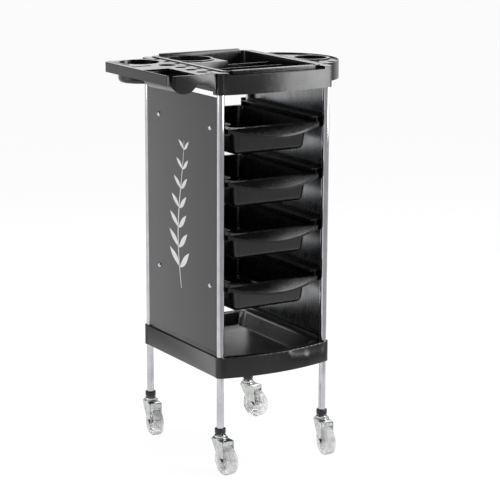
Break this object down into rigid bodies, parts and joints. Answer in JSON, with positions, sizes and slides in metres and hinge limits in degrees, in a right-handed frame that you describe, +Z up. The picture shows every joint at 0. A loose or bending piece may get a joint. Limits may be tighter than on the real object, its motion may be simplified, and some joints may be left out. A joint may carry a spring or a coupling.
{
  "type": "spa trolley cart",
  "caption": "Salon trolley cart on swivel casters with pull-out trays, a base tray, a lift-out top tray and tool-holder wings.",
  "frame": {"origin": "middle of the cart's outline on the floor the wheels stand on", "axes": "+X towards the half-round wing, +Y towards the back, +Z up; the trays pull out along -Y"},
  "size_m": [0.4907, 0.3886, 0.8765],
  "materials": {
    "chrome": "polished chrome plate on steel",
    "zinc_plate": "bright plated pressed steel",
    "clear_tyre": "clear polyurethane tread",
    "clear_hub": "clear moulded wheel centre",
    "black_collar": "satin black moulding",
    "grey_panel": "dark grey satin lacquer outside, brushed metal inside",
    "black_rail": "black extrusion, semi-gloss",
    "black_moulding": "black moulding, semi-gloss"
  },
  "bodies": {
    "cart": {"base_tray": "black_moulding", "top_frame": "black_moulding", "post_front_left": "chrome", "post_front_right": "chrome", "post_back_left": "chrome", "post_back_right": "chrome", "side_panel_left": "grey_panel", "side_panel_right": "grey_panel", "panel_caps_left": "chrome", "panel_caps_right": "chrome", "wing_screws_left": "chrome", "wing_screws_right": "chrome", "wing_left": "black_moulding", "wing_right": "black_moulding", "rail_left_1": "black_rail", "rail_left_2": "black_rail", "rail_left_3": "black_rail", "rail_left_4": "black_rail", "rail_right_1": "black_rail", "rail_right_2": "black_rail", "rail_right_3": "black_rail", "rail_right_4": "black_rail", "caster_socket_front_left": "black_collar", "caster_socket_front_right": "black_collar", "caster_socket_back_left": "black_collar", "caster_socket_back_right": "black_collar", "caster_stem_front_left": "chrome", "caster_stem_front_right": "chrome", "caster_stem_back_left": "chrome", "caster_stem_back_right": "chrome"},
    "fork_front_left": {"caster_fork_front_left": "zinc_plate", "caster_axle_front_left": "chrome"},
    "wheel_front_left": {"caster_hub_front_left": "clear_hub", "caster_tyre_front_left": "clear_tyre"},
    "fork_front_right": {"caster_fork_front_right": "zinc_plate", "caster_axle_front_right": "chrome"},
    "wheel_front_right": {"caster_hub_front_right": "clear_hub", "caster_tyre_front_right": "clear_tyre"},
    "fork_back_left": {"caster_fork_back_left": "zinc_plate", "caster_axle_back_left": "chrome"},
    "wheel_back_left": {"caster_hub_back_left": "clear_hub", "caster_tyre_back_left": "clear_tyre"},
    "fork_back_right": {"caster_fork_back_right": "zinc_plate", "caster_axle_back_right": "chrome"},
    "wheel_back_right": {"caster_hub_back_right": "clear_hub", "caster_tyre_back_right": "clear_tyre"},
    "tray_1": {"tray_1": "black_moulding"},
    "tray_2": {"tray_2": "black_moulding"},
    "tray_3": {"tray_3": "black_moulding"},
    "tray_4": {"tray_4": "black_moulding"},
    "top_tray": {"top_tray": "black_moulding"},
    "mixing_bowl": {"mixing_bowl": "black_moulding"},
    "right_cup": {"right_cup": "black_moulding"}
  },
  "joints": [
    {"name": "swivel_front_left", "type": "hinge", "parent": "cart", "child": "fork_front_left", "pos_m": [-0.12325, -0.13792, 0.076], "axis": [0, 0, 1], "continuous": true},
    {"name": "roll_front_left", "type": "hinge", "parent": "fork_front_left", "child": "wheel_front_left", "pos_m": [-0.12158, -0.16186, 0.032], "axis": [0.9976, 0.0698, 0], "continuous": true},
    {"name": "swivel_front_right", "type": "hinge", "parent": "cart", "child": "fork_front_right", "pos_m": [0.14075, -0.13792, 0.076], "axis": [0, 0, 1], "continuous": true},
    {"name": "roll_front_right", "type": "hinge", "parent": "fork_front_right", "child": "wheel_front_right", "pos_m": [0.13741, -0.16168, 0.032], "axis": [0.9903, -0.1392, 0], "continuous": true},
    {"name": "swivel_back_left", "type": "hinge", "parent": "cart", "child": "fork_back_left", "pos_m": [-0.12325, 0.17708, 0.076], "axis": [0, 0, 1], "continuous": true},
    {"name": "roll_back_left", "type": "hinge", "parent": "fork_back_left", "child": "wheel_back_left", "pos_m": [-0.12576, 0.15321, 0.032], "axis": [0.9945, -0.1045, 0], "continuous": true},
    {"name": "swivel_back_right", "type": "hinge", "parent": "cart", "child": "fork_back_right", "pos_m": [0.14075, 0.17708, 0.076], "axis": [0, 0, 1], "continuous": true},
    {"name": "roll_back_right", "type": "hinge", "parent": "fork_back_right", "child": "wheel_back_right", "pos_m": [0.14856, 0.15439, 0.032], "axis": [0.9455, 0.3256, 0], "continuous": true},
    {"name": "tray_slide_1", "type": "slide", "parent": "cart", "child": "tray_1", "axis": [0, -1, 0], "range_m": [0, 0.2]},
    {"name": "tray_slide_2", "type": "slide", "parent": "cart", "child": "tray_2", "axis": [0, -1, 0], "range_m": [0, 0.2]},
    {"name": "tray_slide_3", "type": "slide", "parent": "cart", "child": "tray_3", "axis": [0, -1, 0], "range_m": [0, 0.2]},
    {"name": "tray_slide_4", "type": "slide", "parent": "cart", "child": "tray_4", "axis": [0, -1, 0], "range_m": [0, 0.2]},
    {"name": "top_tray_lift", "type": "slide", "parent": "cart", "child": "top_tray", "axis": [0, 0, 1], "range_m": [0, 0.1]},
    {"name": "mixing_bowl_lift", "type": "slide", "parent": "top_tray", "child": "mixing_bowl", "axis": [0, 0, 1], "range_m": [0, 0.08]},
    {"name": "right_cup_lift", "type": "slide", "parent": "cart", "child": "right_cup", "axis": [0, 0, 1], "range_m": [0, 0.08]}
  ]
}
